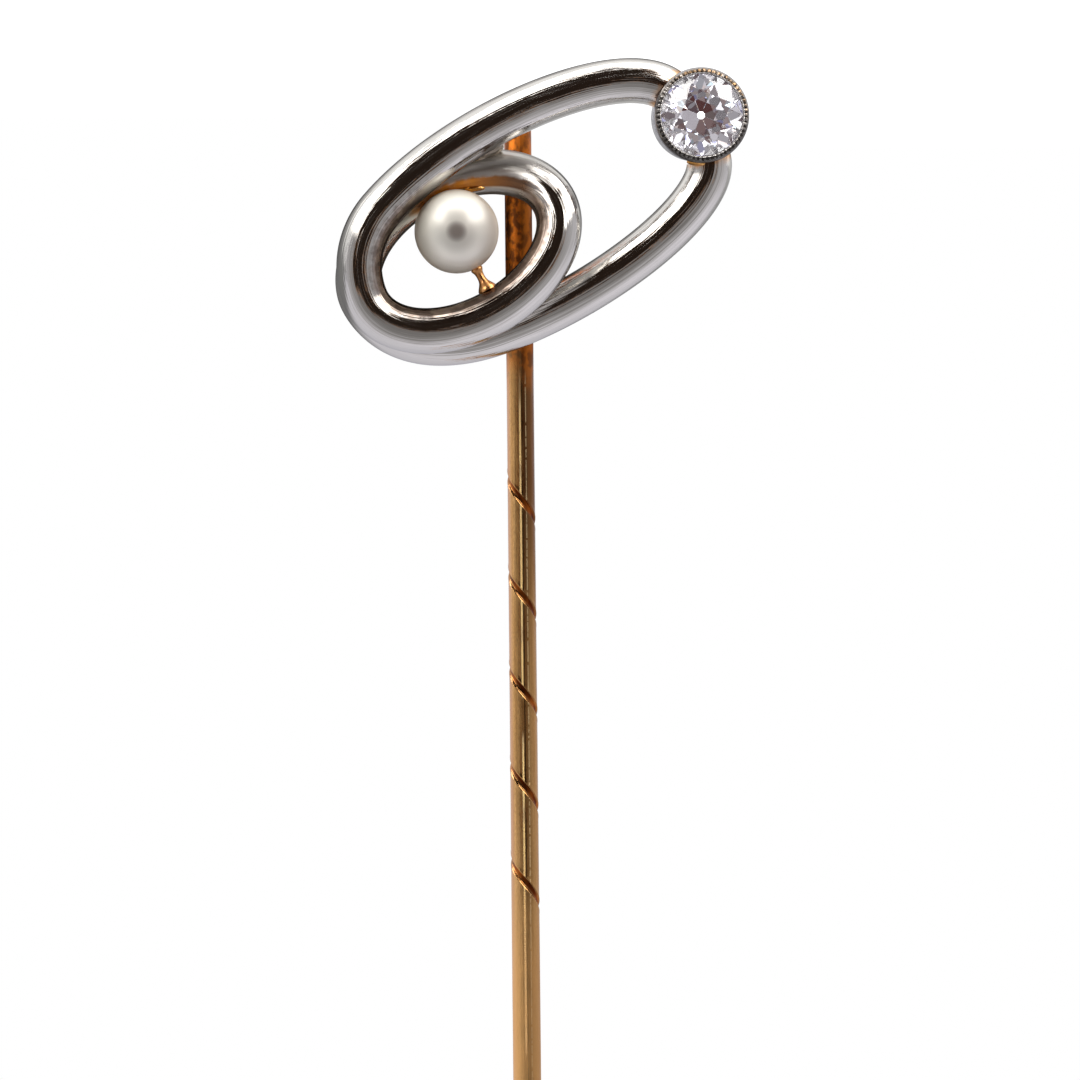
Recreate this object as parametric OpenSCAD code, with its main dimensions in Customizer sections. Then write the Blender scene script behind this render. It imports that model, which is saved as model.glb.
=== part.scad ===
// Stick pin: a scroll of round wire with a collet-set stone and a pearl, on a straight stem.
//
// Own frame, before the pin is laid down: the stem's axis is the Y axis, its point is
// towards -Y, and +Z is the front, the side that is seen when the pin is worn.
// The pin is then laid on its back: its weight rolls it about the stem until the scroll's
// left bend meets the surface, which is the rest pose that every node is drawn in.

/* [Scroll wire] */
// Diameter of the round wire
wire_d = 1.9; // [1.7:0.05:1.95]
// Clear space between two pieces, or between two turns of the wire
gap = 0.03; // [0.02:0.01:0.06]
// How far the ovals lean from the X axis, in degrees
oval_tilt = 29; // [27:0.5:31]
// Centre of the upper oval, across the stem
upper_x = -0.35; // [-0.5:0.05:-0.2]
// Centre of the upper oval, along the stem
upper_y = 0.85; // [0.7:0.05:1]
// Half length of the upper oval
upper_half_length = 7.75; // [7.5:0.05:8]
// Half width of the upper oval
upper_half_width = 2.85; // [2.7:0.05:3]
// Centre of the small loop, across the stem
loop_x = -2.75; // [-2.9:0.05:-2.6]
// Centre of the small loop, along the stem
loop_y = -1.7; // [-1.8:0.05:-1.6]
// Half length of the small loop
loop_half_length = 4.45; // [4.3:0.05:4.6]
// Half width of the small loop
loop_half_width = 2.9; // [2.85:0.05:3]
// Centre of the lower oval, across the stem
lower_x = 1.05; // [0.9:0.05:1.2]
// Centre of the lower oval, along the stem
lower_y = -1.4; // [-1.5:0.05:-1.3]
// Half length of the lower oval
lower_half_length = 7.6; // [7.4:0.05:7.8]
// Half width of the lower oval
lower_half_width = 2.5; // [2.4:0.05:2.6]

/* [Collet and stone] */
// Collet's axis, across the stem
collet_x = 7.45; // [7.3:0.05:7.6]
// Collet's axis, along the stem
collet_y = 3.9; // [3.8:0.05:4.1]
// Outer diameter of the collet at its rim
collet_rim_d = 3.9; // [3.8:0.05:4.1]
// Outer diameter of the collet at its back
collet_back_d = 3.7; // [3.6:0.05:3.8]
// Height of the collet's back rim above the stem's axis
collet_back_z = 0.3; // [0.2:0.05:0.5]
// Height of the collet's front rim above the stem's axis
collet_rim_z = 3.7; // [3.6:0.05:3.8]
// Diameter of the hole through the collet's back
collet_bore_d = 2.5; // [2.3:0.1:2.6]
// Height of the wire's middle where its two ends meet the collet
collet_wire_z = 2.3; // [2.1:0.05:2.4]
// Diameter of the stone at its girdle
stone_d = 3.5; // [3.45:0.05:3.55]

/* [Pearl] */
// Diameter of the pearl
pearl_d = 3.5; // [3.3:0.05:3.5]
// Pearl's centre, across the stem
pearl_x = -2.9; // [-2.95:0.05:-2.9]
// Pearl's centre, along the stem
pearl_y = -0.9; // [-0.95:0.05:-0.9]
// Height of the pearl's centre above the stem's axis
pearl_z = 3.3; // [3.3:0.05:3.5]
// Diameter of the peg that carries the pearl
peg_d = 0.3; // [0.25:0.05:0.4]

/* [Stem] */
// Diameter of the stem's plain shank, below the grip groove
stem_d = 1.17; // [1.15:0.01:1.2]
// Diameter of the stem above the grip groove, along which it narrows
neck_d = 1.14; // [1.1:0.01:1.15]
// How far the stem reaches up behind the scroll, from the frame's origin
stem_top = 4.2; // [4:0.1:4.4]
// Distance from the frame's origin down to the point
stem_drop = 56; // [50:1:60]
// Length of the stem's taper to its point
taper_length = 10; // [8:1:14]
// Height of one turn of the grip groove
groove_pitch = 4; // [3.8:0.1:4.2]
// Distance from the frame's origin down to the groove's first line at the stem's left edge
groove_drop = 11.15; // [10.5:0.05:12]
// Depth of the grip groove
groove_depth = 0.1; // [0.06:0.02:0.14]

/* [Hidden] */

wire_r = wire_d / 2;
stem_r = stem_d / 2;
neck_r = neck_d / 2;
pearl_r = pearl_d / 2;
collet_wall_edge = 0.12;

// Heights of the wire's middle, above the stem's axis: the turn behind rests on the stem,
// and the turn in front rests on the turn behind
back_z = neck_r + gap + wire_r;
front_z = back_z + gap + wire_d;

// The wire's two turns, followed from the collet: one angle runs through them, and at each
// angle a turn is an oval of [centre x, centre y, half length, half width]
upper_oval = [upper_x, upper_y, upper_half_length, upper_half_width];
loop_oval = [loop_x, loop_y, loop_half_length, loop_half_width];
lower_oval = [lower_x, lower_y, lower_half_length, lower_half_width];

// Angles at which the wire leaves one oval and has reached the next
loop_from = 135;
loop_full = 175;
lower_from = 530;
lower_full = 600;

// The wire's climb and fall, a row for each: [from angle, to angle, rise]
climbs = [
    [10, 140, front_z - collet_wire_z],
    [320, 430, back_z - front_z],
    [600, 705, collet_wire_z - back_z],
];

wire_start = 5;
wire_end = 725;
wire_step = 6;
wire_sides = 16;

function smooth_step(v) = v <= 0 ? 0 : v >= 1 ? 1 : v * v * (3 - 2 * v);
function share(angle, from, to) = smooth_step((angle - from) / (to - from));
function mix(a, b, part) = a * (1 - part) + b * part;
function unit(v) = v / norm(v);
function sum(list, i = 0) = i >= len(list) ? 0 : list[i] + sum(list, i + 1);

function on_oval(oval, angle) =
    let (along = oval[2] * cos(angle), across = oval[3] * sin(angle))
    [
        oval[0] + along * cos(oval_tilt) - across * sin(oval_tilt),
        oval[1] + along * sin(oval_tilt) + across * cos(oval_tilt),
    ];

function wire_height(angle) =
    collet_wire_z + sum([for (climb = climbs) climb[2] * share(angle, climb[0], climb[1])]);

function wire_middle(angle) =
    let (
        upper = on_oval(upper_oval, angle),
        loop = on_oval(loop_oval, angle),
        lower = on_oval(lower_oval, angle),
        plan = mix(mix(upper, loop, share(angle, loop_from, loop_full)), lower,
            share(angle, lower_from, lower_full))
    )
    [plan[0], plan[1], wire_height(angle)];

function wire_heading(angle) = unit(wire_middle(angle + 1) - wire_middle(angle - 1));

// One ring of the wire's skin, square to the way that the wire runs
function wire_ring(angle) =
    let (
        heading = wire_heading(angle),
        side = unit(cross([0, 0, 1], heading)),
        up = cross(heading, side)
    )
    [for (i = [0:wire_sides - 1])
        wire_middle(angle) + wire_r * (side * cos(i * 360 / wire_sides) + up * sin(i * 360 / wire_sides))];

// Rings joined into one closed skin, with a flat cap at each end
function ring_points(rings) = [for (ring = rings) each ring];
function ring_faces(count, sides) = [
    [for (i = [0:sides - 1]) i],
    [for (i = [sides - 1:-1:0]) (count - 1) * sides + i],
    for (k = [0:count - 2])
        for (i = [0:sides - 1])
            let (a = k * sides + i, b = k * sides + (i + 1) % sides)
            each [[a, a + sides, b + sides], [a, b + sides, b]],
];

scroll_rings = [for (angle = [wire_start:wire_step:wire_end]) wire_ring(angle)];

// How far a point on the left side turns about the stem before it meets the surface
function lean_to_touch(x, z) = atan2(z, -x) + asin(stem_r / norm([x, z]));
scroll_points = ring_points(scroll_rings);
lean = min([for (p = scroll_points) if (p[0] < -stem_d) lean_to_touch(p[0], p[2])]);

// Laid down, the pin's box is centred on the row's origin and stands on it
function laid_x(x, z) = x * cos(lean) - z * sin(lean);
collet_back_r = collet_back_d / 2;
collet_rim_r = collet_rim_d / 2;
back_edge = 0.1;
left_x = min([for (p = scroll_points) laid_x(p[0], p[2])]);
right_x = max(
    laid_x(collet_x + collet_back_r - back_edge, collet_back_z),
    laid_x(collet_x + collet_back_r, collet_back_z + back_edge)
);
top_y = max([for (p = scroll_points) p[1]]);

module laid_down() {
    translate([-(left_x + right_x) / 2, (stem_drop - top_y) / 2, stem_r])
        rotate([0, -lean, 0])
            children();
}

// The stone: an old round cut with a small table, a high crown and an open culet
girdle_z = collet_rim_z - 0.35;
stone_r = stone_d / 2;
girdle_height = 0.06;
table_r = 0.55 * stone_r;
crown_height = 0.32 * stone_r;
star_r = 0.76 * stone_r;
pavilion_depth = 0.86 * stone_r;
culet_r = 0.1 * stone_r;
lower_half_r = 0.62 * stone_r;

// A main facet runs straight from its inner edge to the girdle, and this is its height at a
// point that lies half a facet to one side of it
function main_facet_rise(r, inner_r, depth) = depth * (stone_r - r) / (stone_r - inner_r);
function stone_ring(r, z, turn, count) = [
    for (i = [0:count - 1]) [r * cos(turn + i * 360 / count), r * sin(turn + i * 360 / count), z]
];
half_facet = 22.5;
lower_half_depth =
    main_facet_rise(lower_half_r * cos(half_facet), culet_r * cos(half_facet), pavilion_depth);
stone_points = concat(
    stone_ring(table_r, crown_height, 0, 8),
    stone_ring(star_r, main_facet_rise(star_r * cos(half_facet), table_r, crown_height), half_facet, 8),
    stone_ring(stone_r, 0, 0, 16),
    stone_ring(stone_r, -girdle_height, 0, 16),
    stone_ring(lower_half_r, -girdle_height - lower_half_depth, half_facet, 8),
    stone_ring(culet_r, -girdle_height - pavilion_depth, half_facet, 8)
);

// The peg runs from the pearl's middle to the wire at the bottom of the small loop
peg_angle = 272;
pearl_middle = [pearl_x, pearl_y, pearl_z];
peg_line = wire_middle(peg_angle) - pearl_middle;
peg_reach = norm(peg_line) - wire_r - 2 * gap;
peg_depth = 0.5;
peg_foot_d = 0.6;
peg_foot_height = 0.25;
peg_cup_d = 0.46;
peg_cup_height = 0.2;
peg_hole_d = peg_d + 2 * gap;

// Points local Z along a line that starts at a given place
module along(start, line) {
    translate(start)
        rotate([0, acos(line[2] / norm(line)), atan2(line[1], line[0])])
            children();
}

// The grip groove: a left-handed screw line, cut around the stem. Its turn is counted from the
// first line's end at the left edge, and it starts and ends a quarter turn before, behind the stem
groove_lines = 5;
groove_start = groove_drop - groove_pitch / 4;
groove_end = groove_start + groove_lines * groove_pitch;
groove_half_width = 0.16;
groove_sides = 3;
groove_step = 15;
function groove_ring(turn) =
    let (
        out = [-cos(turn), sin(turn), 0],
        middle = out * mix(neck_r, stem_r, (turn + 90) / (groove_lines * 360))
            + [0, 0, groove_pitch * turn / 360],
        flare = [0, 0, 2 * groove_half_width]
    )
    [
        middle + out * groove_depth + flare,
        middle - out * groove_depth,
        middle + out * groove_depth - flare,
    ];

module groove_cutter() {
    rings = [for (turn = [-90:groove_step:groove_lines * 360 - 90]) groove_ring(turn)];
    polyhedron(ring_points(rings), ring_faces(len(rings), groove_sides), convexity = 8);
}

point_r = 0.1;
stem_length = stem_top + stem_drop;
module stem() {
    color("goldenrod")
    laid_down()
    translate([0, stem_top, 0])
    rotate([90, 0, 0])
    difference() {
        rotate_extrude($fn = 48)
            polygon([
                [0, 0],
                [neck_r, 0],
                [neck_r, stem_top + groove_start],
                [stem_r, stem_top + groove_end],
                [stem_r, stem_length - taper_length],
                [point_r, stem_length],
                [0, stem_length],
            ]);
        translate([0, 0, stem_top + groove_drop])
            groove_cutter();
    }
}

module collet_outside() {
    rotate_extrude($fn = 64)
        polygon([
            [0, collet_back_z],
            [collet_back_r - back_edge, collet_back_z],
            [collet_back_r, collet_back_z + back_edge],
            [collet_rim_r, collet_rim_z - collet_wall_edge],
            [collet_rim_r - collet_wall_edge, collet_rim_z],
            [0, collet_rim_z],
        ]);
}

// The opening that shows the stone, the seat under its girdle, and the hole to the back
lip_r = stone_r - 0.04;
seat_r = stone_r + gap;
bore_r = collet_bore_d / 2;
seat_slope = lower_half_depth / (stone_r - lower_half_r);
module collet_cavity() {
    over = 1;
    rotate_extrude($fn = 64)
        polygon([
            [0, collet_back_z - over],
            [bore_r, collet_back_z - over],
            [bore_r, girdle_z - girdle_height - gap - (seat_r - bore_r) * seat_slope],
            [seat_r, girdle_z - girdle_height - gap],
            [seat_r, girdle_z + gap],
            [lip_r, girdle_z + gap + (seat_r - lip_r)],
            [lip_r, collet_rim_z + over],
            [0, collet_rim_z + over],
        ]);
}

module scroll() {
    color("silver")
    laid_down()
    difference() {
        union() {
            polyhedron(scroll_points, ring_faces(len(scroll_rings), wire_sides), convexity = 10);
            translate([collet_x, collet_y, 0])
                collet_outside();
        }
        translate([collet_x, collet_y, 0])
            collet_cavity();
    }
}

module diamond() {
    color("aliceblue")
    laid_down()
    translate([collet_x, collet_y, girdle_z])
        hull()
            polyhedron(stone_points, [[for (i = [0:len(stone_points) - 1]) i]]);
}

module pearl() {
    color("ivory")
    laid_down()
    difference() {
        translate(pearl_middle)
            sphere(r = pearl_r, $fn = 64);
        along(pearl_middle, peg_line)
            translate([0, 0, -peg_depth - gap])
                cylinder(d = peg_hole_d, h = pearl_r + 2 * peg_depth, $fn = 32);
    }
}

module pearl_peg() {
    color("darkgoldenrod")
    laid_down()
    along(pearl_middle, peg_line) {
        translate([0, 0, -peg_depth])
            cylinder(d = peg_d, h = peg_reach + peg_depth, $fn = 32);
        translate([0, 0, pearl_r + gap])
            cylinder(d1 = peg_cup_d, d2 = peg_d, h = peg_cup_height, $fn = 32);
        translate([0, 0, peg_reach - peg_foot_height])
            cylinder(d1 = peg_d, d2 = peg_foot_d, h = peg_foot_height, $fn = 32);
    }
}

stem();
scroll();
diamond();
pearl();
pearl_peg();
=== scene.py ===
from math import asin, atan2, cos, degrees, hypot, pi, radians, sin, sqrt, tau

import bmesh
import bpy
from mathutils import Matrix, Vector


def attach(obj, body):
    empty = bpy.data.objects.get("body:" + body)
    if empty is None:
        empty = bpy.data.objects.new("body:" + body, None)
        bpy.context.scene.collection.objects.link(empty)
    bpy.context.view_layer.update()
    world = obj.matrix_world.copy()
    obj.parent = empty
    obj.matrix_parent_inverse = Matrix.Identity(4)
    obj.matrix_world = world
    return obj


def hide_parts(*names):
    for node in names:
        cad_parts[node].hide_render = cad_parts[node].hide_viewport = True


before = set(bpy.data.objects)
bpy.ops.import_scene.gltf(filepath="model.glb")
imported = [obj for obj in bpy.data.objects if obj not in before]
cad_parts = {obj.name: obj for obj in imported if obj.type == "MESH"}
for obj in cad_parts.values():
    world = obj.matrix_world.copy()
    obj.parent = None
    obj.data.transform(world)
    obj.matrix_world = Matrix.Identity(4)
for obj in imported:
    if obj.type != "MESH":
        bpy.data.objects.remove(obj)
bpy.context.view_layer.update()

# How the pin lies. Every piece is made upright in millimetres, with the stem's axis as the Y axis and
# the pin's front towards +Z, and is then laid down as the CAD solids are: leaning about the stem until
# the scroll's left bend meets the surface.
LEAN = radians(9.83231)
STEM_PLACE = (-0.34601e-3, 24.8464e-3, 0.585e-3)
LAID_DOWN = Matrix.Translation(STEM_PLACE) @ Matrix.Rotation(-LEAN, 4, "Y") @ Matrix.Scale(0.001, 4)


# The studio. The photograph looks straight at the pin's front from about 450 mm, with a soft white light
# above the head, a dark opening for the lens below it, and paler grey all round.
class Wiring:
    """Adds the nodes of one material, or of the studio, and joins each to what feeds it."""

    def __init__(self, tree):
        self.tree = tree
        tree.nodes.clear()

    def add(self, kind, *feeds, **settings):
        """One node. The feeds fill its inputs in order: None leaves an input as it is."""
        made = self.tree.nodes.new("ShaderNode" + kind)
        for name, value in settings.items():
            setattr(made, name, value)
        for socket, value in zip(made.inputs, feeds):
            self.join(value, socket)
        return made

    def join(self, value, socket):
        if isinstance(value, bpy.types.Node):
            value = value.outputs[0]
        if isinstance(value, bpy.types.NodeSocket):
            self.tree.links.new(value, socket)
        elif value is not None:
            socket.default_value = value

    def number(self, operation, *values):
        """One sum on numbers. Past two values, each one in turn is taken with the result so far."""
        made = self.add("Math", *values[:2], operation=operation)
        for value in values[2:]:
            made = self.add("Math", made, value, operation=operation)
        return made

    def times(self, *values):
        return self.number("MULTIPLY", *values)

    def plus(self, *values):
        return self.number("ADD", *values)

    def minus(self, value, taken):
        return self.number("SUBTRACT", value, taken)

    def highest(self, *values):
        return self.number("MAXIMUM", *values)

    def vector(self, operation, *values):
        return self.add("VectorMath", *values, operation=operation)

    def apart(self, place):
        """The three numbers of a place or a direction."""
        return self.add("SeparateXYZ", place).outputs

    def rotated(self, place, angle, axis):
        made = self.add("VectorRotate", place, rotation_type=axis + "_AXIS")
        made.inputs["Angle"].default_value = angle
        return made

    def step(self, value, start, end, low=0.0, high=1.0):
        """low before start, high after end, and smooth between them."""
        return self.add("MapRange", value, start, end, low, high, interpolation_type="SMOOTHSTEP")

    def blend(self, share, first, second):
        """first where share is 0 and second where it is 1, as colours."""
        mix = self.add("Mix", data_type="RGBA")
        self.join(share, mix.inputs["Factor"])
        self.join(first, mix.inputs[6])
        self.join(second, mix.inputs[7])
        return mix.outputs[2]

    def ramp(self, value, *stops, stepped=False):
        """A colour ramp. Each stop is its place and its colour."""
        made = self.add("ValToRGB", value)
        elements = made.color_ramp.elements
        while len(elements) < len(stops):
            elements.new(0.5)
        for element, (place, colour) in zip(elements, stops):
            element.position = place
            element.color = (*colour, 1)
        if stepped:
            made.color_ramp.interpolation = "CONSTANT"
        return made.outputs[0]


VIEW_TURN = radians(5.449)
WHITE = (1, 1, 1, 1)
world = bpy.data.worlds.new("studio")
bpy.context.scene.world = world
world.use_nodes = True
w = Wiring(world.node_tree)
towards = w.rotated(w.add("TexCoord"), LEAN + VIEW_TURN, "Y")
x, y, z = w.apart(towards)
# Angles across and along the pin, counted in radians from straight above its front
off_axis = w.number("ARCCOSINE", w.number("MINIMUM", w.highest(z, -0.9999), 0.9999))
spread = w.number("DIVIDE", off_axis, w.number("SINE", off_axis))
to_right = w.times(x, spread)
across = w.number("ABSOLUTE", to_right)
along = w.times(y, spread)
walls = w.ramp(
    w.number("DIVIDE", off_axis, pi),
    (0.0, (0.20, 0.19, 0.19)),
    (0.17, (0.25, 0.24, 0.24)),
    (0.28, (0.42, 0.41, 0.42)),
    (0.45, (0.60, 0.59, 0.62)),
    (0.60, (0.70, 0.69, 0.74)),
)
# The wall below the pin is paler
below = w.times(w.step(y, -0.15, -0.7), w.step(off_axis, 1.0, 1.6))
walls = w.blend(below, walls, (0.92, 0.90, 0.98, 1))
# The light above the head slopes down at its sides, and has a small gap between two of its lamps
softbox = w.step(w.minus(along, w.times(across, 0.42)), 0.0, 0.14)
from_gap = w.highest(
    w.number("ABSOLUTE", w.minus(to_right, 0.184)), w.number("ABSOLUTE", w.minus(along, 1.277))
)
softbox = w.times(softbox, w.step(from_gap, 0.08, 0.11))
lit = w.blend(softbox, walls, (4.2, 4.1, 3.98, 1))
# The opening for the lens has a frame of warm brown wood
opening = w.times(
    w.step(across, 0.46, 0.58, 1.0, 0.0), w.step(along, -0.15, -0.08), w.step(along, 1.06, 1.16, 1.0, 0.0)
)
dark = w.highest(opening, w.step(off_axis, 0.03, 0.07, 1.0, 0.0))
lit = w.blend(w.step(dark, 0.0, 0.4), lit, (0.50, 0.26, 0.13, 1))
studio = w.blend(w.step(dark, 0.3, 0.9), lit, (0.022, 0.014, 0.010, 1))
# What the stone gathers: small lamps and dark gaps between them, all round the lens
cells = w.add("TexVoronoi", feature="F1")
w.join(w.vector("MULTIPLY", towards, (-1, -1, 1)), cells.inputs["Vector"])
cells.inputs["Scale"].default_value = 10.0
lamp, _, tint = w.apart(cells.outputs["Color"])
lamps = w.ramp(
    lamp,
    (0.0, (0.10, 0.06, 0.07)),
    (0.20, (0.29, 0.27, 0.30)),
    (0.47, (0.64, 0.61, 0.67)),
    (0.70, (1.4, 1.37, 1.46)),
    (0.86, (3.1, 3.0, 3.15)),
    stepped=True,
)
# The stone splits some of them into colours
fire = w.ramp(
    tint,
    (0.0, (0.74, 0.76, 1.14)),
    (0.12, (1, 1, 1)),
    (0.80, (1.10, 0.96, 0.88)),
    (0.92, (0.78, 1.0, 1.08)),
    (0.96, (1.12, 1.0, 0.78)),
    stepped=True,
)
lamps = w.vector("MULTIPLY", lamps, fire)
gathered = w.blend(w.step(off_axis, 0.14, 0.30, 0.8, 0.0), lamps, (0.26, 0.19, 0.20, 1))
# The lens's brown hood, seen upwards and downwards, and the grey stand high above it
for middle_x, middle_y, half_x, half_y, colour in (
    (0.03, -0.31, 0.26, 0.17, (0.085, 0.018, 0.016, 1)),
    (0.05, 0.25, 0.26, 0.10, (0.22, 0.14, 0.14, 1)),
    (-0.30, 0.0, 0.09, 0.12, (0.15, 0.11, 0.11, 1)),
    (0.03, 0.57, 0.30, 0.12, (0.30, 0.30, 0.34, 1)),
):
    beside = w.number("DIVIDE", w.number("ABSOLUTE", w.minus(x, middle_x)), half_x)
    above = w.number("DIVIDE", w.number("ABSOLUTE", w.minus(y, middle_y)), half_y)
    gathered = w.blend(w.step(w.highest(beside, above), 0.8, 1.1, 1.0, 0.0), gathered, colour)
ray = w.add("LightPath").outputs
studio = w.blend(ray["Is Transmission Ray"], studio, gathered)
shown = w.blend(ray["Is Camera Ray"], studio, WHITE)
w.add("OutputWorld", w.add("Background", shown, 1.0))

# The paper that the pin lies on. It is plain white. The metal mirrors it lighter beyond the head, where the
# lamp is, and below it, darker on the pin's left, and dim and brown inside the small loop, which keeps the
# light off it. Its measures are in metres, as it isn't laid down with the pin.
PAPER_R = 3.0
PAPER_DROP = 0.00002
HEAD_MIDDLE = (-0.0006, 0.0248, 0)
LOOP_OFF_MIDDLE = (-0.0028, -0.0018, 0)
LOOP_TURN = radians(29)
LOOP_HALF_LENGTH, LOOP_HALF_WIDTH = 0.0052, 0.0031
floor_bm = bmesh.new()
bmesh.ops.create_circle(floor_bm, cap_ends=True, segments=64, radius=PAPER_R)
floor_mesh = bpy.data.meshes.new("floor")
floor_bm.to_mesh(floor_mesh)
floor_bm.free()
floor = bpy.data.objects.new("floor", floor_mesh)
bpy.context.scene.collection.objects.link(floor)
paper = bpy.data.materials.new("white paper")
paper.use_nodes = True
w = Wiring(paper.node_tree)
right, up, _ = w.apart(w.vector("SUBTRACT", w.add("TexCoord").outputs["Object"], HEAD_MIDDLE))
mirrored = w.plus(w.step(up, -0.002, 0.007, 0.30, 1.30), w.step(right, -0.008, 0.008, -0.04, 0.16))
mirrored = w.highest(mirrored, w.step(up, -0.0075, -0.0035, 0.85, 0.0))
from_loop = w.vector("SUBTRACT", w.add("CombineXYZ", right, up, 0.0), LOOP_OFF_MIDDLE)
from_loop = w.rotated(from_loop, -LOOP_TURN, "Z")
from_loop = w.vector("MULTIPLY", from_loop, (1 / LOOP_HALF_LENGTH, 1 / LOOP_HALF_WIDTH, 0))
outside_loop = w.step(w.vector("LENGTH", from_loop).outputs["Value"], 0.85, 1.1)
tone = w.blend(w.step(up, -0.0075, -0.0035), (0.93, 0.92, 1.0, 1), WHITE)
tone = w.blend(outside_loop, (0.17, 0.13, 0.10, 1), tone)
ray = w.add("LightPath").outputs
tone = w.blend(w.highest(ray["Is Camera Ray"], ray["Is Diffuse Ray"]), tone, WHITE)
shown = w.highest(
    mirrored, ray["Is Camera Ray"],
    w.times(ray["Is Transmission Ray"], 2.5), w.times(ray["Is Diffuse Ray"], 3.0),
)
w.add("OutputMaterial", w.add("Emission", tone, shown))
floor_mesh.materials.append(paper)
floor.location.z = -PAPER_DROP

# The camera. It looks down on the head from a little to the pin's left, through a long lens, and the
# photograph's own edge cuts the stem off.
LENS, SENSOR = 360.0, 36.0
CAMERA_PLACE = (0.765, -13.759, 452.4)
PICTURE_TURN = radians(-0.58)
camera = bpy.data.objects.new("camera", bpy.data.cameras.new("camera"))
bpy.context.scene.collection.objects.link(camera)
bpy.context.scene.camera = camera
camera.data.sensor_width = SENSOR
camera.data.lens = LENS
camera.matrix_world = (
    LAID_DOWN
    @ Matrix.Rotation(-VIEW_TURN, 4, "Y")
    @ Matrix.Translation(CAMERA_PLACE)
    @ Matrix.Rotation(PICTURE_TURN, 4, "Z")
    @ Matrix.Scale(1000.0, 4)
)
view = bpy.context.scene.view_settings
view.view_transform = "Standard"
view.look = "None"


# The scroll's wire: one length of round platinum wire, polished, and bent through nearly two turns, in
# three ovals that run into each other and cross. Both its ends are soldered into the side of the collet.
WIRE_R = 0.95
GAP = 0.03
NECK_R = 0.57
OVAL_TILT = radians(29)
# Each oval's middle, across and along the pin, then half its length and half its width
UPPER_OVAL = (-0.35, 0.85, 7.75, 2.85)
SMALL_LOOP = (-2.75, -1.7, 4.45, 2.9)
LOWER_OVAL = (1.05, -1.4, 7.6, 2.5)
COLLET_MIDDLE = (7.40, 3.87)
COLLET_WIRE_Z = 2.3
COLLET_SIDE_R = 1.87
BACK_Z = NECK_R + GAP + WIRE_R
FRONT_Z = BACK_Z + GAP + 2 * WIRE_R
# Where the wire climbs or falls: its first and last turn in degrees, and how far
CLIMBS = (
    (10, 140, FRONT_Z - COLLET_WIRE_Z), (320, 430, BACK_Z - FRONT_Z), (600, 705, COLLET_WIRE_Z - BACK_Z)
)


def share(value, start, end):
    """How much of the way from start to end a value has gone, eased at both ends."""
    part = min(1.0, max(0.0, (value - start) / (end - start)))
    return part * part * (3 - 2 * part)


def on_oval(oval, turn):
    centre_x, centre_y, half_length, half_width = oval
    out, up = half_length * cos(radians(turn)), half_width * sin(radians(turn))
    return Vector((
        centre_x + out * cos(OVAL_TILT) - up * sin(OVAL_TILT),
        centre_y + out * sin(OVAL_TILT) + up * cos(OVAL_TILT),
        0,
    ))


def wire_middle(turn):
    """The wire's middle, followed by one angle from the collet round both turns and back."""
    place = on_oval(UPPER_OVAL, turn).lerp(on_oval(SMALL_LOOP, turn), share(turn, 135, 175))
    place = place.lerp(on_oval(LOWER_OVAL, turn), share(turn, 530, 600))
    place.z = COLLET_WIRE_Z + sum(rise * share(turn, start, end) for start, end, rise in CLIMBS)
    return place


def wire_skin(turn, angle):
    """A point of the wire's skin, at an angle round its section."""
    heading = (wire_middle(turn + 0.5) - wire_middle(turn - 0.5)).normalized()
    side = Vector((0, 0, 1)).cross(heading).normalized()
    return wire_middle(turn) + (side * cos(angle) + heading.cross(side) * sin(angle)) * WIRE_R


def meets_collet(angle, turn, step, last):
    """Follows one line of the skin until it is inside the collet's wall, where that end is fitted."""
    while abs(turn - last) > abs(step):
        point = wire_skin(turn, angle)
        if hypot(point.x - COLLET_MIDDLE[0], point.y - COLLET_MIDDLE[1]) < COLLET_SIDE_R:
            return turn
        turn += step
    return last


def laid_piece(name, bm, material, sharp=None):
    """The finished piece, laid down as the CAD node is. Its place is in its mesh, so it isn't moved."""
    bmesh.ops.remove_doubles(bm, verts=bm.verts, dist=1e-5)
    bmesh.ops.recalc_face_normals(bm, faces=bm.faces)
    upright = bm.verts.layers.float_vector.new("upright_mm")
    for v in bm.verts:
        v[upright] = v.co
    bm.transform(LAID_DOWN)
    mesh = bpy.data.meshes.new(name)
    bm.to_mesh(mesh)
    bm.free()
    mesh.materials.append(material)
    mesh.polygons.foreach_set("use_smooth", [True] * len(mesh.polygons))
    if sharp is not None:
        mesh.set_sharp_from_angle(angle=radians(sharp))
    piece = bpy.data.objects.new(name, mesh)
    bpy.context.scene.collection.objects.link(piece)
    return piece


def new_material(name):
    material = bpy.data.materials.new(name)
    material.use_nodes = True
    return material, Wiring(material.node_tree)


def principled(w, **inputs):
    shader = w.add("BsdfPrincipled")
    for name, value in inputs.items():
        w.join(value, shader.inputs[name.replace("_", " ")])
    w.add("OutputMaterial", shader)


def kept(w, name="upright_mm"):
    """What the mesh keeps at its vertices: places in the upright pin, in mm, unless named otherwise."""
    return w.add("Attribute", attribute_name=name).outputs["Vector"]


def noise(w, place, stretch, detail=2.0):
    """Soft random values from 0 to 1. The stretch is how often they change in a millimetre, by axis."""
    made = w.add("TexNoise")
    w.join(w.vector("MULTIPLY", place, stretch), made.inputs["Vector"])
    made.inputs["Scale"].default_value = 1.0
    made.inputs["Detail"].default_value = detail
    return made.outputs[0]


def bumped(w, height, depth_mm, under=None):
    made = w.add("Bump")
    made.inputs["Distance"].default_value = depth_mm * 0.001
    w.join(height, made.inputs["Height"])
    w.join(under, made.inputs["Normal"])
    return made


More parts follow.
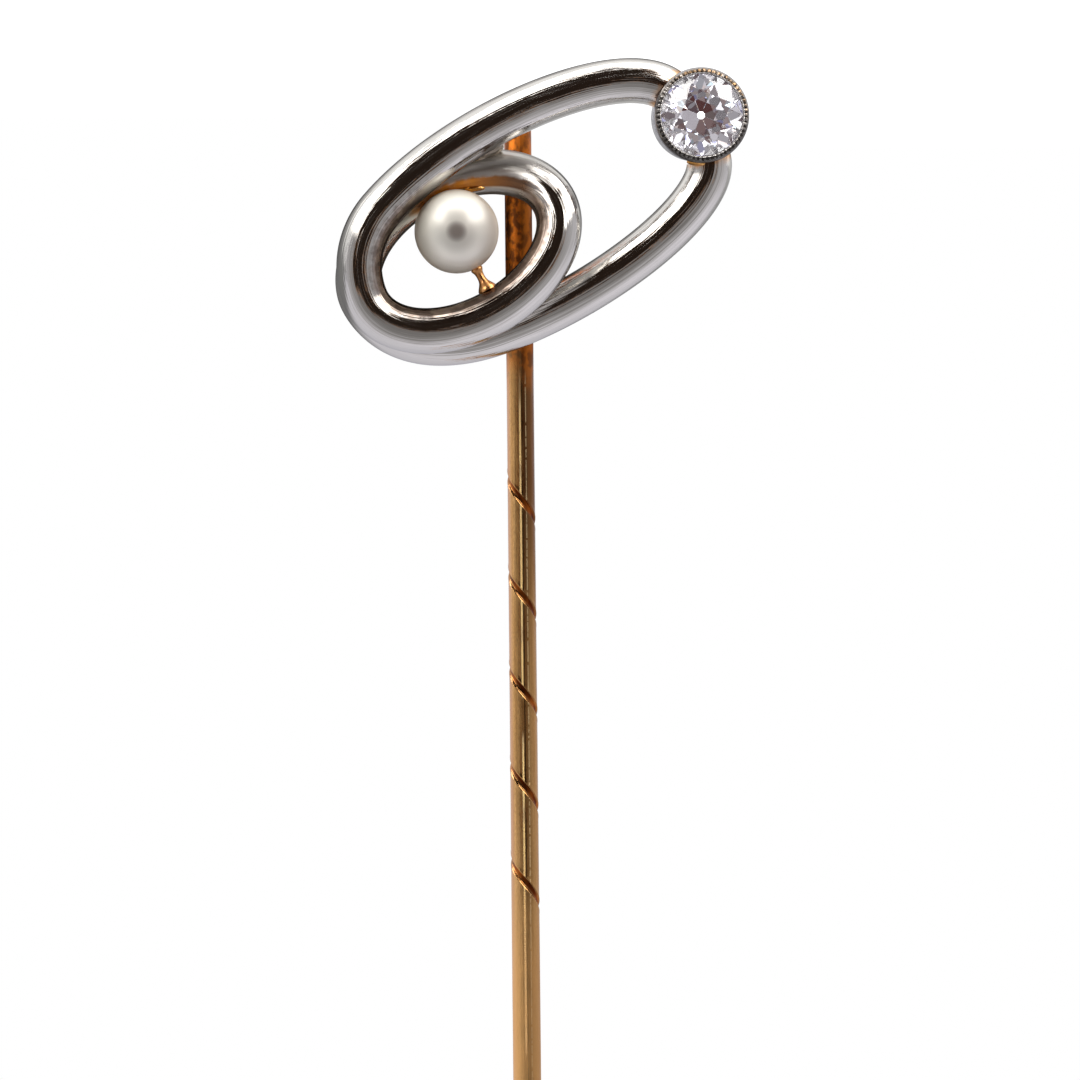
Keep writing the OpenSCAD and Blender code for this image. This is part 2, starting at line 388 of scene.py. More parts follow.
def patch(w, place, middle, size, turn=0.0):
    """1 in an oval patch, sized in millimetres and turned about Z in degrees, and 0 outside it."""
    moved = w.rotated(w.vector("SUBTRACT", place, middle), radians(-turn), "Z")
    moved = w.vector("MULTIPLY", moved, tuple(1.0 / half for half in size))
    return w.step(w.vector("LENGTH", moved).outputs["Value"], 0.5, 1.0, 1.0, 0.0)


# The wire's skin: a ring of its section is drawn along the line. The rings near both ends are spread out so
# that each line of the skin ends where it meets the collet's side, as if filed to fit.
SIDES = 40
RINGS, FITTED_RINGS = 484, 20
RING_STEP = 1.5
FIRST_TURN = 30
LAST_TURN = FIRST_TURN + (RINGS - 1 - 2 * FITTED_RINGS) * RING_STEP
bm = bmesh.new()
travel = bm.verts.layers.float_vector.new("wire_place")
ring = bmesh.ops.create_circle(bm, segments=SIDES, radius=WIRE_R, cap_ends=False)["verts"]
angles = [tau * k / SIDES for k in range(SIDES)]
# Each line of the skin is followed towards the collet, a quarter of a degree at a time
starts = [meets_collet(angle, 40, -0.25, -3.5) for angle in angles]
ends = [meets_collet(angle, 690, 0.25, 724) for angle in angles]
length = 0.0
last = wire_middle(0)
edges = bm.edges[:]
for k in range(RINGS):
    turn = FIRST_TURN + (k - FITTED_RINGS) * RING_STEP
    to_start = max(0.0, 1 - k / FITTED_RINGS)
    to_end = max(0.0, (k - (RINGS - 1 - FITTED_RINGS)) / FITTED_RINGS)
    if k > 0:
        grown = bmesh.ops.extrude_edge_only(bm, edges=edges)["geom"]
        ring = [v for v in grown if isinstance(v, bmesh.types.BMVert)]
        edges = [e for e in grown if isinstance(e, bmesh.types.BMEdge) and e.is_boundary]
    length += (wire_middle(turn) - last).length
    last = wire_middle(turn)
    for v, angle, start, end in zip(ring, angles, starts, ends):
        here = turn
        if to_start > 0:
            here = FIRST_TURN + (start - FIRST_TURN) * to_start
        if to_end > 0:
            here = LAST_TURN + (end - LAST_TURN) * to_end
        v.co = wire_skin(here, angle)
        v[travel] = (length, WIRE_R * cos(angle), WIRE_R * sin(angle))
bmesh.ops.holes_fill(bm, edges=bm.edges, sides=0)

platinum, w = new_material("polished platinum")
along_wire = kept(w, "wire_place")
place = kept(w)
along_it, inwards, frontwards = w.apart(along_wire)
# The drawing plate and the polishing have left waves, lines and scratches along it
draw_lines = noise(w, along_wire, (0.12, 7.0, 7.0), 3.0)
fine_lines = noise(w, along_wire, (0.5, 18.0, 18.0), 2.0)
normal = bumped(w, noise(w, along_wire, (0.45, 1.0, 1.0), 1.0), 0.055)
normal = bumped(w, draw_lines, 0.018, normal)
normal = bumped(w, fine_lines, 0.0035, normal)
normal = bumped(w, noise(w, along_wire, (0.05, 12.0, 12.0), 1.0), 0.010, normal)
normal = bumped(w, noise(w, along_wire, (2.2, 22.0, 22.0), 2.0), 0.0024, normal)


def stretch_of(start, end, edge):
    """1 along one stretch of the wire, counted in millimetres from the collet."""
    return w.times(w.step(along_it, start, start + edge), w.step(along_it, end - edge, end, 1.0, 0.0))


# Where the small loop meets the upper wire it was soldered, and no polishing wheel reached it
dull = w.times(stretch_of(30.4, 37.6, 1.4), w.step(frontwards, -0.2, 0.2))
roughness = w.plus(
    w.step(draw_lines, 0.35, 0.70, 0.05, 0.13), w.times(dull, 0.24),
    w.step(fine_lines, 0.56, 0.66, 0.0, 0.12),
)
# Solder has tinted the metal at the collet and where the turns cross
uneven = noise(w, place, (3.0, 3.0, 3.0), 3.0)
flat_place = w.vector("MULTIPLY", place, (1, 1, 0))
from_collet = w.vector("DISTANCE", flat_place, (*COLLET_MIDDLE, 0)).outputs["Value"]
joint = w.step(w.plus(from_collet, w.times(uneven, 0.5)), 2.15, 2.55, 1.0, 0.0)
crossing = patch(w, place, (-3.6, 0.55, 2.45), (2.3, 0.55, 0.9), 22)
tinted = w.highest(w.times(joint, 0.8), w.times(crossing, w.step(uneven, 0.35, 0.60, 0.35, 1.0)))
metal = w.blend(w.times(tinted, 0.9), (0.66, 0.64, 0.61, 1), (0.72, 0.33, 0.07, 1))
# It ran along the small loop's inner side, and darkened at one end
ran = w.times(
    w.step(w.plus(inwards, w.times(uneven, 0.2)), 0.22, 0.38), w.step(inwards, 0.60, 0.70, 1.0, 0.0),
    w.step(frontwards, 0.0, 0.2), stretch_of(30.2, 37.4, 1.2),
)
run_tone = w.blend(w.step(along_it, 31.5, 34.5), (0.13, 0.05, 0.012, 1), (0.55, 0.20, 0.022, 1))
metal = w.blend(w.times(ran, 0.92), metal, run_tone)
# The inside of the two turns is painted a mottled brown, as painted shade where the neighbouring turns are
# mirrored in it
inner_shade = w.times(
    stretch_of(11.0, 32.5, 2.5), w.step(frontwards, -0.3, 0.0),
    w.step(w.plus(inwards, w.times(uneven, 0.5)), 0.42, 0.92), w.step(inwards, 0.84, 0.93, 1.0, 0.25),
)
darker_shade_patches = w.step(noise(w, place, (1.6, 1.6, 1.6), 3.0), 0.42, 0.56)
inner_shade_tone = w.blend(darker_shade_patches, (0.27, 0.195, 0.15, 1), (0.12, 0.07, 0.045, 1))
metal = w.blend(w.times(inner_shade, 0.85), metal, inner_shade_tone)
# Painted shade: its edge tint is dark on its upper side, so that side mirrors less where it is seen at a
# slant
_, upward, _ = w.apart(w.add("NewGeometry").outputs["Normal"])
upper_edge_shade = w.blend(w.step(upward, -0.2, 0.5), (0.70, 0.70, 0.72, 1), (0.06, 0.06, 0.07, 1))
principled(w, Base_Color=metal, Specular_Tint=upper_edge_shade, Metallic=1.0, Roughness=roughness, Normal=normal)
wire = laid_piece("scroll_wire", bm, platinum)
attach(wire, "root")
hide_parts("scroll")


# The collet: a straight tube of platinum that holds the stone. Its back is open, its inside is cut to a
# seat under the stone's edge, and the rim that is pressed over the stone is milled into a row of beads.
COLLET_PLACE = Matrix.Translation((*COLLET_MIDDLE, 0))
COLLET_SIDES = 128
# Its outline, as radius and height: from the hole in its back up its side, over the rim and down its seat
COLLET_OUTLINE = (
    (1.25, 0.33), (1.28, 0.30), (1.72, 0.30), (1.79, 0.33), (1.82, 0.40),
    (1.99, 3.16), (2.00, 3.25), (1.99, 3.34), (1.955, 3.42), (1.89, 3.49), (1.82, 3.55), (1.77, 3.575),
    (1.73, 3.565), (1.705, 3.48), (1.70, 3.43), (1.78, 3.37), (1.78, 3.26), (1.25, 2.695),
)
BEADS = 58
BEAD_R, BEAD_Z = 1.83, 3.525
BEAD_LEAN = radians(38)
BEAD_SIZE = (0.130, 0.080, 0.070)


def turned(bm, outline, sides, closed=False):
    """Turns an outline of (radius, height) about local Z."""
    verts = [bm.verts.new((radius, 0, height)) for radius, height in outline]
    ends = verts[1:] + ([verts[0]] if closed else [])
    edges = [bm.edges.new(pair) for pair in zip(verts, ends)]
    bmesh.ops.spin(
        bm, geom=verts + edges, axis=(0, 0, 1), cent=(0, 0, 0), angle=tau, steps=sides, use_merge=True
    )
    bmesh.ops.remove_doubles(bm, verts=bm.verts, dist=1e-4)


bm = bmesh.new()
turned(bm, COLLET_OUTLINE, COLLET_SIDES, closed=True)
for k in range(BEADS):
    # The beads lean outwards with the rim's slope, and no two were milled quite alike
    size = 1 + 0.20 * sin(7.3 * k) + 0.13 * sin(2.9 * k)
    round_rim = Matrix.Rotation(tau * k / BEADS + 0.014 * sin(5.1 * k), 4, "Z")
    bmesh.ops.create_uvsphere(
        bm, u_segments=12, v_segments=8, radius=1.0,
        matrix=round_rim @ Matrix.Translation((BEAD_R, 0, BEAD_Z)) @ Matrix.Rotation(BEAD_LEAN, 4, "Y")
        @ Matrix.Diagonal((BEAD_SIZE[0], BEAD_SIZE[1] * size, BEAD_SIZE[2] * size, 1)),
    )
bm.transform(COLLET_PLACE)
milled, w = new_material("milled platinum")
place = kept(w)
x, y, z = w.apart(w.vector("SUBTRACT", place, (*COLLET_MIDDLE, 0)))
reach = w.number("SQRT", w.plus(w.times(x, x), w.times(y, y)))
round_it = w.number("ARCTAN2", y, x)
uneven = noise(w, place, (4.0, 4.0, 4.0), 3.0)
# The rim is darker than the side, and most of all at its foot
rim_tone = w.blend(w.step(y, -1.6, 0.6), (0.20, 0.19, 0.175, 1), (0.38, 0.36, 0.34, 1))
metal = w.blend(w.step(z, 3.30, 3.45), (0.56, 0.54, 0.55, 1), rim_tone)
# Solder has run a little way round the rim's top
warm = w.times(
    w.step(w.number("ABSOLUTE", w.minus(round_it, 1.15)), 0.7, 1.4, 1.0, 0.0),
    w.step(z, 3.42, 3.56), w.step(uneven, 0.35, 0.6),
)
metal = w.blend(warm, metal, (0.50, 0.31, 0.16, 1))
# Painted shade in the ring between the stone and the beads, under the rim, and dirt in the cuts from bead
# to bead, and over some of the beads
shade_under_rim = w.times(w.step(reach, 1.735, 1.765, 1.0, 0.0), w.step(z, 3.2, 3.4))
cuts = w.step(w.number("COSINE", w.times(round_it, BEADS)), -0.7, 0.2, 1.0, 0.0)
clogged = w.times(w.step(noise(w, place, (2.4, 2.4, 2.4)), 0.44, 0.60), w.step(reach, 1.92, 1.87), 0.75)
darkening = w.highest(shade_under_rim, w.times(w.highest(cuts, clogged), w.step(z, 3.42, 3.50)))
metal = w.blend(w.times(darkening, 0.96), metal, (0.030, 0.024, 0.020, 1))
# Its inside was only scraped bright, and throws light back into the stone
inside = w.times(w.step(reach, 1.775, 1.785, 1.0, 0.0), w.step(z, 3.38, 3.36, 1.0, 0.0))
metal = w.blend(inside, metal, (0.88, 0.86, 0.84, 1))
roughness = w.plus(w.step(uneven, 0.3, 0.7, 0.14, 0.28), w.times(inside, 0.25))
# Lines from the turning run round it
turning = noise(w, w.add("CombineXYZ", round_it, reach, z), (0.6, 4.0, 16.0), 3.0)
normal = bumped(w, turning, 0.008, bumped(w, noise(w, place, (5.0, 5.0, 1.5), 3.0), 0.012))
principled(
    w, Base_Color=metal, Specular_Tint=(0.20, 0.20, 0.23, 1), Metallic=1.0, Roughness=roughness,
    Normal=normal,
)
collet = laid_piece("collet", bm, milled, sharp=50)
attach(collet, "root")
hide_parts("scroll")


# The stone: an old round cut diamond, with a small table, a high crown and an open culet. It lies on the
# collet's seat, and the rim holds it down.
STONE_R = 1.75
# The height of its widest place, the girdle
STONE_Z = 3.35
STONE_PLACE = COLLET_PLACE @ Matrix.Translation((0, 0, STONE_Z))
TABLE_R, CROWN = 0.55 * STONE_R, 0.32 * STONE_R
CULET_R, PAVILION = 0.1 * STONE_R, 0.86 * STONE_R
STAR_R, LOWER_HALF_R = 0.76 * STONE_R, 0.36 * STONE_R
GIRDLE_TOP, GIRDLE_FOOT = 0.01, -0.07
FACET = 45
CULET_FLAT = CULET_R * cos(radians(FACET / 2))


def on_stone(radius, degrees_round, height):
    return Vector((radius * cos(radians(degrees_round)), radius * sin(radians(degrees_round)), height))


def ground(bm, a, b, c):
    """Grinds one facet: the stone is cut through three points, and what lies outside is gone."""
    out = (b - a).cross(c - a).normalized()
    if out.dot(a) < 0:
        out.negate()
    cut = bmesh.ops.bisect_plane(
        bm, geom=bm.verts[:] + bm.edges[:] + bm.faces[:], dist=1e-7, plane_co=a, plane_no=out,
        clear_outer=True,
    )["geom_cut"]
    rim = [e for e in cut if isinstance(e, bmesh.types.BMEdge)]
    if len(rim) > 2:
        bmesh.ops.contextual_create(bm, geom=rim)


def main_facet_rise(radius, inner_r, depth):
    """How far a main facet has run from the girdle, at a point half a facet to one side of it."""
    return depth * (STONE_R - radius * cos(radians(FACET / 2))) / (STONE_R - inner_r)


star_z = GIRDLE_TOP + main_facet_rise(STAR_R, TABLE_R, CROWN)
half_z = GIRDLE_FOOT - main_facet_rise(LOWER_HALF_R, CULET_FLAT, PAVILION)
table_z, culet_z = GIRDLE_TOP + CROWN, GIRDLE_FOOT - PAVILION
bm = bmesh.new()
bmesh.ops.create_cone(
    bm, cap_ends=True, segments=96, radius1=STONE_R, radius2=STONE_R, depth=4.0, matrix=Matrix.Identity(4)
)
for flat_z in (table_z, culet_z):
    ground(bm, Vector((0, 0, flat_z)), Vector((1, 0, flat_z)), Vector((0, 1, flat_z)))
# The main facets of crown and pavilion
for a in range(0, 360, FACET):
    for inner_r, inner_z, girdle_z in ((TABLE_R, table_z, GIRDLE_TOP), (CULET_FLAT, culet_z, GIRDLE_FOOT)):
        at_girdle = on_stone(STONE_R, a, girdle_z)
        ground(bm, on_stone(inner_r, a, inner_z), at_girdle, at_girdle + on_stone(1, a + 90, 0))
# The star facets round the table, and the half facets at the girdle
for a in range(0, 360, FACET):
    star_tip = on_stone(STAR_R, a + FACET / 2, star_z)
    half_tip = on_stone(LOWER_HALF_R, a + FACET / 2, half_z)
    ground(bm, on_stone(TABLE_R, a, table_z), on_stone(TABLE_R, a + FACET, table_z), star_tip)
    for side in (0, FACET):
        for tip, girdle_z in ((star_tip, GIRDLE_TOP), (half_tip, GIRDLE_FOOT)):
            corner, middle = (on_stone(STONE_R, a + turn, girdle_z) for turn in (side, FACET / 2))
            ground(bm, corner, middle, tip)
bm.transform(STONE_PLACE)
brilliant, w = new_material("diamond")
# Painted light: the stone glows an even grey where light has been thrown to and fro inside it for long
painted_glow = w.step(w.add("LightPath").outputs["Ray Depth"], 5.4, 5.6, 0.0, 0.20)
# Its facets were ground by hand, and are not quite flat
normal = bumped(w, noise(w, kept(w), (1.6, 1.6, 1.6), 1.0), 0.0016)
principled(
    w, Base_Color=WHITE, Roughness=0.0, IOR=2.42, Transmission_Weight=1.0, Normal=normal,
    Emission_Color=(0.85, 0.82, 0.88, 1), Emission_Strength=painted_glow,
)
stone = laid_piece("old_cut_diamond", bm, brilliant, sharp=2)
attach(stone, "root")
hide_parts("diamond")


# The stem: a length of drawn gold wire, soldered across the scroll's back. A left-handed groove is rolled
# into it to grip the cloth, its plain shank ends in a filed taper, and its point is rounded.
STEM_TOP, STEM_POINT = 4.2, -56.0
TOP_EDGE = 0.04
SHANK_R, POINT_R, TAPER_START = 0.585, 0.1, -46.0
NOSE = 0.12
GROOVE_PITCH, GROOVE_TURNS = 4.0, 5
GROOVE_START = -10.15
GROOVE_END = GROOVE_START - GROOVE_PITCH * GROOVE_TURNS
GROOVE_FADE, GROOVE_MARGIN = 0.7, 0.6
# Places across the groove: distance up the stem, depth, and how dark the painted shade in it is
GROOVE_SECTION = (
    (2.0, 0, 0), (1.1, 0, 0), (0.5, 0, 0), (0.31, 0, 0), (0.26, -0.012, 0), (0.225, 0, 0.3),
    (0.20, 0.085, 1.0), (0.16, 0.10, 1.0), (0.04, 0.10, 1.0), (-0.03, 0.10, 0.8), (-0.12, 0.095, 0.7),
    (-0.16, 0.06, 0.5), (-0.21, 0, 0.1), (-0.24, -0.008, 0), (-0.30, 0, 0), (-0.5, 0, 0), (-1.1, 0, 0),
    (-2.0, 0, 0),
)
ROUND_STEPS = 60


def stem_radius(y):
    if y > TAPER_START:
        past_groove = (GROOVE_START - y) / (GROOVE_START - GROOVE_END)
        return NECK_R + (SHANK_R - NECK_R) * min(1, max(0, past_groove))
    cone = SHANK_R + (POINT_R - SHANK_R) * (TAPER_START - y) / (TAPER_START - STEM_POINT)
    nose = max(0.0, STEM_POINT + NOSE - y) / NOSE
    return cone * sqrt(max(0.04, 1 - nose * nose))


def drawn_on(bm, rim, y, radius):
    """Carries the stem's open rim on to y, at that radius, and returns the new rim."""
    grown = bmesh.ops.extrude_edge_only(bm, edges=rim)["geom"]
    for v in grown:
        if isinstance(v, bmesh.types.BMVert):
            scale = radius / hypot(v.co.x, v.co.z)
            v.co = (v.co.x * scale, y, v.co.z * scale)
    return [e for e in grown if isinstance(e, bmesh.types.BMEdge) and e.is_boundary]


# The grooved part is a screw of radius 1 at first, and is then brought to the stem's size
bm = bmesh.new()
groove_shade_layer = bm.verts.layers.float.new("groove_shade")
verts = [bm.verts.new((0, GROOVE_START + GROOVE_PITCH + up, depth - 1)) for up, depth, _ in GROOVE_SECTION]
for v, (_, _, darkening) in zip(verts, GROOVE_SECTION):
    v[groove_shade_layer] = darkening
edges = [bm.edges.new(pair) for pair in zip(verts, verts[1:])]
bmesh.ops.spin(
    bm, geom=verts + edges, axis=(0, 1, 0), cent=(0, 0, 0), dvec=(0, -GROOVE_PITCH / ROUND_STEPS, 0),
    angle=tau * (GROOVE_TURNS + 2), steps=ROUND_STEPS * (GROOVE_TURNS + 2),
)
bmesh.ops.remove_doubles(bm, verts=bm.verts, dist=1e-4)
for v in bm.verts:
    unit = hypot(v.co.x, v.co.z)
    fade = share(-v.co.y, -GROOVE_START, GROOVE_FADE - GROOVE_START)
    fade *= share(v.co.y, GROOVE_END, GROOVE_END + GROOVE_FADE)
    scale = (stem_radius(v.co.y) - (1 - unit) * fade) / unit
    v.co.x *= scale
    v.co.z *= scale
    v[groove_shade_layer] *= fade
for y, outwards in ((GROOVE_START + GROOVE_MARGIN, 1), (GROOVE_END - GROOVE_MARGIN, -1)):
    bmesh.ops.bisect_plane(
        bm, geom=bm.verts[:] + bm.edges[:] + bm.faces[:], dist=1e-6, plane_co=(0, y, 0),
        plane_no=(0, outwards, 0), clear_outer=True,
    )
groove_middle = (GROOVE_START + GROOVE_END) / 2
upper_rim = [e for e in bm.edges if e.is_boundary and e.verts[0].co.y > groove_middle]
lower_rim = [e for e in bm.edges if e.is_boundary and e.verts[0].co.y < groove_middle]
for y in (0.0, STEM_TOP - TOP_EDGE):
    upper_rim = drawn_on(bm, upper_rim, y, NECK_R)
upper_rim = drawn_on(bm, upper_rim, STEM_TOP, NECK_R - TOP_EDGE)
for y in (
    -38.0, TAPER_START, -48.0, -50.0, -52.0, -54.0, -55.4, -55.88, -55.93, -55.97, -55.99, STEM_POINT
):
    lower_rim = drawn_on(bm, lower_rim, y, stem_radius(y))
bmesh.ops.holes_fill(bm, edges=upper_rim + lower_rim, sides=0)

gold, w = new_material("drawn gold")
place = kept(w)
x, y, z = w.apart(place)
groove_shade = kept(w, "groove_shade")
draw_lines = noise(w, place, (9.0, 0.12, 9.0), 3.0)
worn = noise(w, place, (1.6, 0.5, 1.6), 3.0)
fine = noise(w, place, (26.0, 6.0, 26.0), 3.0)
# The gold is streaked along its length, finely mottled, and redder at its left edge
metal = w.blend(w.step(draw_lines, 0.30, 0.70), (0.64, 0.345, 0.115, 1), (0.80, 0.47, 0.18, 1))
metal = w.blend(w.times(w.step(fine, 0.45, 0.62), 0.35), metal, (0.42, 0.22, 0.09, 1))
metal = w.blend(w.times(w.step(x, -0.42, -0.55), 0.5), metal, (0.72, 0.42, 0.28, 1))
# Painted shade: the pin's right side is painted darker, and most of all below the head
side = w.step(w.plus(x, w.times(draw_lines, 0.1)), 0.02, 0.14)
shade_below_head = w.step(w.plus(y, w.times(worn, 3.0)), -19.0, -9.0)
metal = w.blend(w.times(side, 0.55), metal, (0.30, 0.15, 0.05, 1))
metal = w.blend(w.times(side, shade_below_head, 0.85), metal, (0.13, 0.05, 0.018, 1))
# Behind the head the gold is darker and redder, in blotches: partly heat colour from the soldering, and
# partly painted shade under the scroll
heat_tint_and_shade = w.step(w.plus(y, w.times(worn, 2.5)), -6.5, -3.5)
blotches = w.step(noise(w, place, (3.4, 2.2, 3.4), 5.0), 0.42, 0.60)
heat_stain_and_shade = w.blend(blotches, (0.76, 0.205, 0.022, 1), (0.19, 0.053, 0.014, 1))
metal = w.blend(w.times(heat_tint_and_shade, 0.95), metal, heat_stain_and_shade)
# Painted shade: behind the head its right side is painted darker still
metal = w.blend(w.times(side, heat_tint_and_shade, 0.6), metal, (0.22, 0.07, 0.012, 1))
# Painted shade: the groove is painted a dark orange-brown
groove_shade_tone = w.blend(w.step(worn, 0.40, 0.60), (0.12, 0.022, 0.004, 1), (0.36, 0.09, 0.012, 1))
metal = w.blend(groove_shade, metal, groove_shade_tone)
front = w.step(z, 0.0, 0.1)
clear = w.step(groove_shade, 0.0, 0.1, 1.0, 0.0)


def painted_line_along(middle, half_width, gaps):
    """1 on a painted line along the stem's front, with some gaps in it."""
    off_line = w.number("ABSOLUTE", w.minus(x, middle))
    whole = w.step(noise(w, place, gaps, 1.0), 0.36, 0.50)
    return w.times(w.step(off_line, half_width * 0.4, half_width, 1.0, 0.0), front, whole)


# Further down, the front is rubbed dull and paler
rubbed = w.times(front, w.step(y, -33.0, -25.0, 1.0, 0.0), clear)
# Its right side is painted darker there too, as painted shade
rubbed_gold_and_shade = w.blend(w.times(side, 0.9), (0.90, 0.53, 0.21, 1), (0.46, 0.25, 0.095, 1))
metal = w.blend(w.times(rubbed, 0.7), metal, rubbed_gold_and_shade)
# Painted highlights and a painted reflection: two light, rough lines with a dark one between them, the lens
# mirrored, run down from the head, and fade on the plain shank
below_head = w.times(w.step(y, -7.5, -6.5, 1.0, 0.0), clear)
painted_lens_reflection = w.times(painted_line_along(0.005, 0.036, (0.1, 0.25, 0.1)), below_head)
painted_lens_reflection = w.times(painted_lens_reflection, w.step(y, -32.0, -26.0, 0.30, 1.0))
painted_highlight = w.highest(
    painted_line_along(-0.08, 0.052, (0, 0.35, 0)), w.times(painted_line_along(0.165, 0.032, (0.2, 5.0, 0.2)), 0.35)
)
painted_highlight = w.times(painted_highlight, w.step(y, -32.0, -26.0, 0.55, 1.0), below_head)
metal = w.blend(w.times(painted_lens_reflection, 0.92), metal, (0.09, 0.04, 0.014, 1))
metal = w.blend(painted_highlight, metal, (1.0, 0.86, 0.52, 1))
roughness = w.plus(
    w.step(worn, 0.3, 0.7, 0.15, 0.26), w.times(painted_highlight, 0.8),
    w.times(w.plus(heat_tint_and_shade, w.times(rubbed, 1.3)), 0.22),
)
# Its shine is taken a little below the lens, as in the photograph, where the stem falls away from it
falling = w.vector("ADD", w.add("NewGeometry").outputs["Normal"], (0, -0.065, 0))
normal = bumped(w, worn, 0.04, w.vector("NORMALIZE", falling))
normal = bumped(w, w.times(draw_lines, w.minus(1.0, w.times(heat_tint_and_shade, 0.8))), 0.012, normal)
normal = bumped(w, fine, 0.006, normal)
principled(w, Base_Color=metal, Metallic=1.0, Roughness=roughness, Normal=normal)
stem = laid_piece("stem", bm, gold, sharp=60)
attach(stem, "root")
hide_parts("stem")


# The pearl: a round, creamy white pearl, with the soft shine of nacre. It is half drilled, and glued on its
# peg with its hole towards the bottom of the small loop.
PEARL_R = 1.75
PEARL_MIDDLE = Vector((-2.9, -0.9, 3.3))
PEARL_SIDES, PEARL_STEPS = 96, 48
HOLE_R, HOLE_END = 0.18, -0.53
PEG_TURN = 272
PEG_LINE = wire_middle(PEG_TURN) - PEARL_MIDDLE
PEG_PLACE = Matrix.Translation(PEARL_MIDDLE) @ PEG_LINE.to_track_quat("Z", "Y").to_matrix().to_4x4()
# The way from its middle to its dark eye, the painted reflection of the lens
LENS_REFLECTION_LINE = Vector((-0.0875, -0.0287, 0.9957))
mouth = asin(HOLE_R / PEARL_R)
outline = [(0, HOLE_END), (HOLE_R, HOLE_END), (HOLE_R, 1.2)]
for k in range(PEARL_STEPS + 1):
    angle = mouth + (pi - mouth) * k / PEARL_STEPS
    outline.append((PEARL_R * sin(angle), PEARL_R * cos(angle)))
bm = bmesh.new()
turned(bm, outline, PEARL_SIDES)
bm.transform(PEG_PLACE)
nacre, w = new_material("nacre")
place = kept(w)
clouds = noise(w, place, (0.9, 0.9, 0.9), 3.0)
skin = noise(w, place, (9.0, 9.0, 9.0), 4.0)
body = w.blend(w.step(clouds, 0.35, 0.65), (0.82, 0.79, 0.72, 1), (0.79, 0.78, 0.71, 1))
# Painted light and shade: it is painted paler below, where light comes through it, and a little darker at
# both sides, and its own tint is browner on its right side and greener on its left
to_right, upwards, _ = w.apart(w.vector("SUBTRACT", place, tuple(PEARL_MIDDLE)))
body = w.blend(w.step(upwards, -0.2, -1.3), body, (1.0, 0.96, 0.87, 1))
body = w.blend(w.step(to_right, 0.45, 1.7, 0.0, 0.85), body, (0.52, 0.44, 0.38, 1))
body = w.blend(w.step(to_right, -0.6, -1.7, 0.0, 0.7), body, (0.60, 0.57, 0.48, 1))
# Nacre shines pinkish where it is seen at a slant
slant = w.add("LayerWeight", 0.5).outputs["Facing"]
body = w.blend(w.step(slant, 0.40, 0.95), body, (0.74, 0.63, 0.50, 1))
# Painted reflection: a soft dark eye, the lens mirrored, is painted at its front, a little to the left, in
# a broad, painted darker halo
from_lens_reflection = w.vector("SUBTRACT", place, tuple(PEARL_MIDDLE + LENS_REFLECTION_LINE * PEARL_R))
from_lens_reflection = w.vector("DOT_PRODUCT", from_lens_reflection, from_lens_reflection).outputs["Value"]
body = w.blend(w.step(from_lens_reflection, 0.1, 1.2, 0.40, 0.0), body, (0.46, 0.43, 0.40, 1))
body = w.blend(w.step(from_lens_reflection, 0.008, 0.262), (0.26, 0.225, 0.205, 1), body)
normal = bumped(w, skin, 0.0006, bumped(w, clouds, 0.01))
principled(
    w, Base_Color=body, Metallic=0.26, Roughness=0.42, Coat_Weight=0.5, Coat_Roughness=0.14, Normal=normal
)
pearl = laid_piece("pearl", bm, nacre, sharp=60)
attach(pearl, "root")
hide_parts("pearl")


# The pearl's peg: a short gold wire, soldered with its spread foot to the wire inside the small loop, with
# a shallow cup that the pearl sits in.
PEG_SIDES = 32
# Its outline, as radius and distance from the pearl's middle: pin in the hole, cup, waist and foot
PEG_OUTLINE = (
    (0, -0.5), (0.15, -0.5), (0.15, 1.69), (0.24, 1.735), (0.26, 1.79), (0.23, 1.86), (0.185, 1.95),
    (0.17, 2.05), (0.165, 2.15), (0.175, 2.27), (0.205, 2.38), (0.27, 2.48), (0.34, 2.58), (0.40, 2.68),
    (0.40, 2.76), (0, 2.76),
)
bm = bmesh.new()
turned(bm, PEG_OUTLINE, PEG_SIDES)
bm.transform(PEG_PLACE)
rose, w = new_material("rose gold")
uneven = noise(w, kept(w), (3.5, 3.5, 3.5), 3.0)
metal = w.blend(w.step(uneven, 0.35, 0.65), (0.86, 0.44, 0.17, 1), (0.70, 0.30, 0.11, 1))
principled(w, Base_Color=metal, Metallic=1.0, Roughness=0.28, Normal=bumped(w, uneven, 0.02))
peg = laid_piece("pearl_peg_wire", bm, rose, sharp=60)
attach(peg, "root")
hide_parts("pearl_peg")


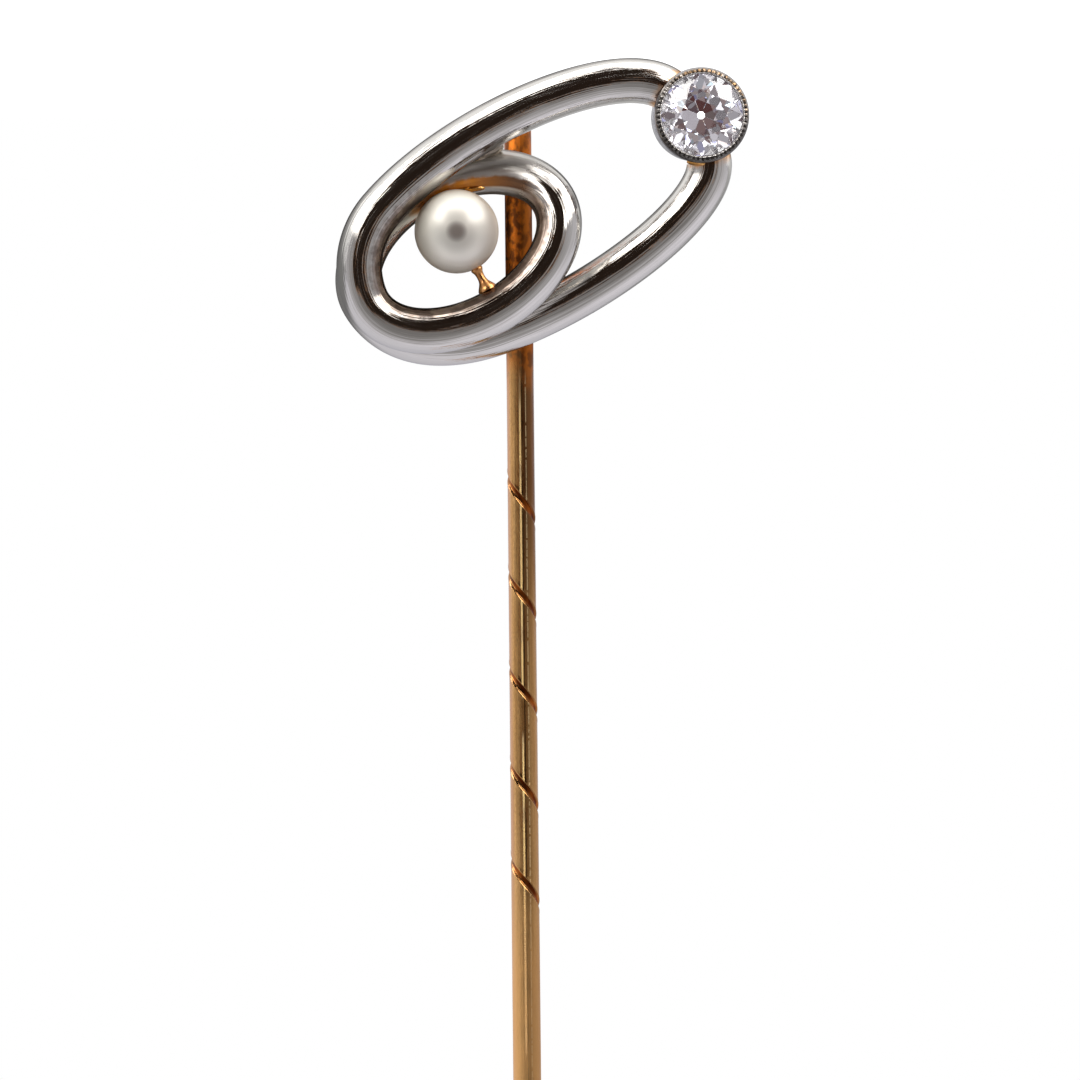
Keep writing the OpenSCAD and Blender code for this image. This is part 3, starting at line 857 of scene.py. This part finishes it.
# The solder: gold solder fills the corners where the wires meet, beside the pearl and at the collet, and it
# holds the stem on the back of the lowest wire. Each run of it is a soft, uneven lump.
def solder_run(bm, middle, size, turn, lean=0.0):
    """A run of solder, by its half sizes. It is turned about Z, and leans about its own length."""
    place = Matrix.Translation(middle) @ Matrix.Rotation(radians(turn), 4, "Z")
    place = place @ Matrix.Rotation(radians(lean), 4, "X")
    run = bmesh.ops.create_icosphere(bm, subdivisions=4, radius=1.0)["verts"]
    for v in run:
        v.co *= 1 + 0.10 * sin(3.1 * v.co.x + 40 * size[0]) * cos(4.3 * v.co.y + v.co.z)
        v.co.x *= 1.25 - 0.25 * abs(v.co.x)
        v.co = place @ Vector((v.co.x * size[0], v.co.y * size[1], v.co.z * size[2]))


bm = bmesh.new()
# Between the upper wire and the small loop's top
solder_run(bm, (-1.55, 2.46, 2.38), (0.78, 0.46, 0.27), 24, 30)
# Along the small loop's inner side, behind the pearl: turn, angle round the wire, and half sizes
for turn, angle, half_length, half_width in (
    (421, 46, 0.50, 0.13), (431, 50, 0.42, 0.15), (440, 50, 0.50, 0.20), (449, 46, 0.60, 0.18)
):
    heading = wire_middle(turn + 1) - wire_middle(turn - 1)
    heading_turn = degrees(atan2(heading.y, heading.x))
    solder_run(bm, wire_skin(turn, radians(angle)), (half_length, half_width, half_width), heading_turn)
# At the collet's foot, over the lower wire, and beside the upper one
solder_run(bm, (7.28, 1.93, 3.02), (0.52, 0.20, 0.22), -8)
solder_run(bm, (5.66, 4.52, 2.9), (0.36, 0.13, 0.16), 70)
# Under the lowest wire, round the stem
solder_run(bm, (0.0, -4.69, 0.56), (0.78, 0.74, 0.24), 23)
flowed, w = new_material("gold solder")
place = kept(w)
uneven = noise(w, place, (3.0, 3.0, 3.0), 3.0)
mottled = w.step(uneven, 0.35, 0.65)
metal = w.blend(mottled, (0.82, 0.46, 0.16, 1), (0.58, 0.28, 0.07, 1))
# It is redder behind the pearl, and pale where it was filed off between the wires
redder = w.blend(mottled, (0.80, 0.34, 0.05, 1), (0.42, 0.15, 0.02, 1))
metal = w.blend(patch(w, place, (-3.2, 0.7, 2.2), (1.9, 0.9, 1.5), 25), metal, redder)
metal = w.blend(patch(w, place, (-1.3, 2.52, 2.3), (1.3, 0.8, 1.5), 24), metal, (0.44, 0.38, 0.31, 1))
principled(w, Base_Color=metal, Metallic=1.0, Roughness=0.26, Normal=bumped(w, uneven, 0.03))
solder = laid_piece("solder", bm, flowed, sharp=80)
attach(solder, "root")
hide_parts("scroll")
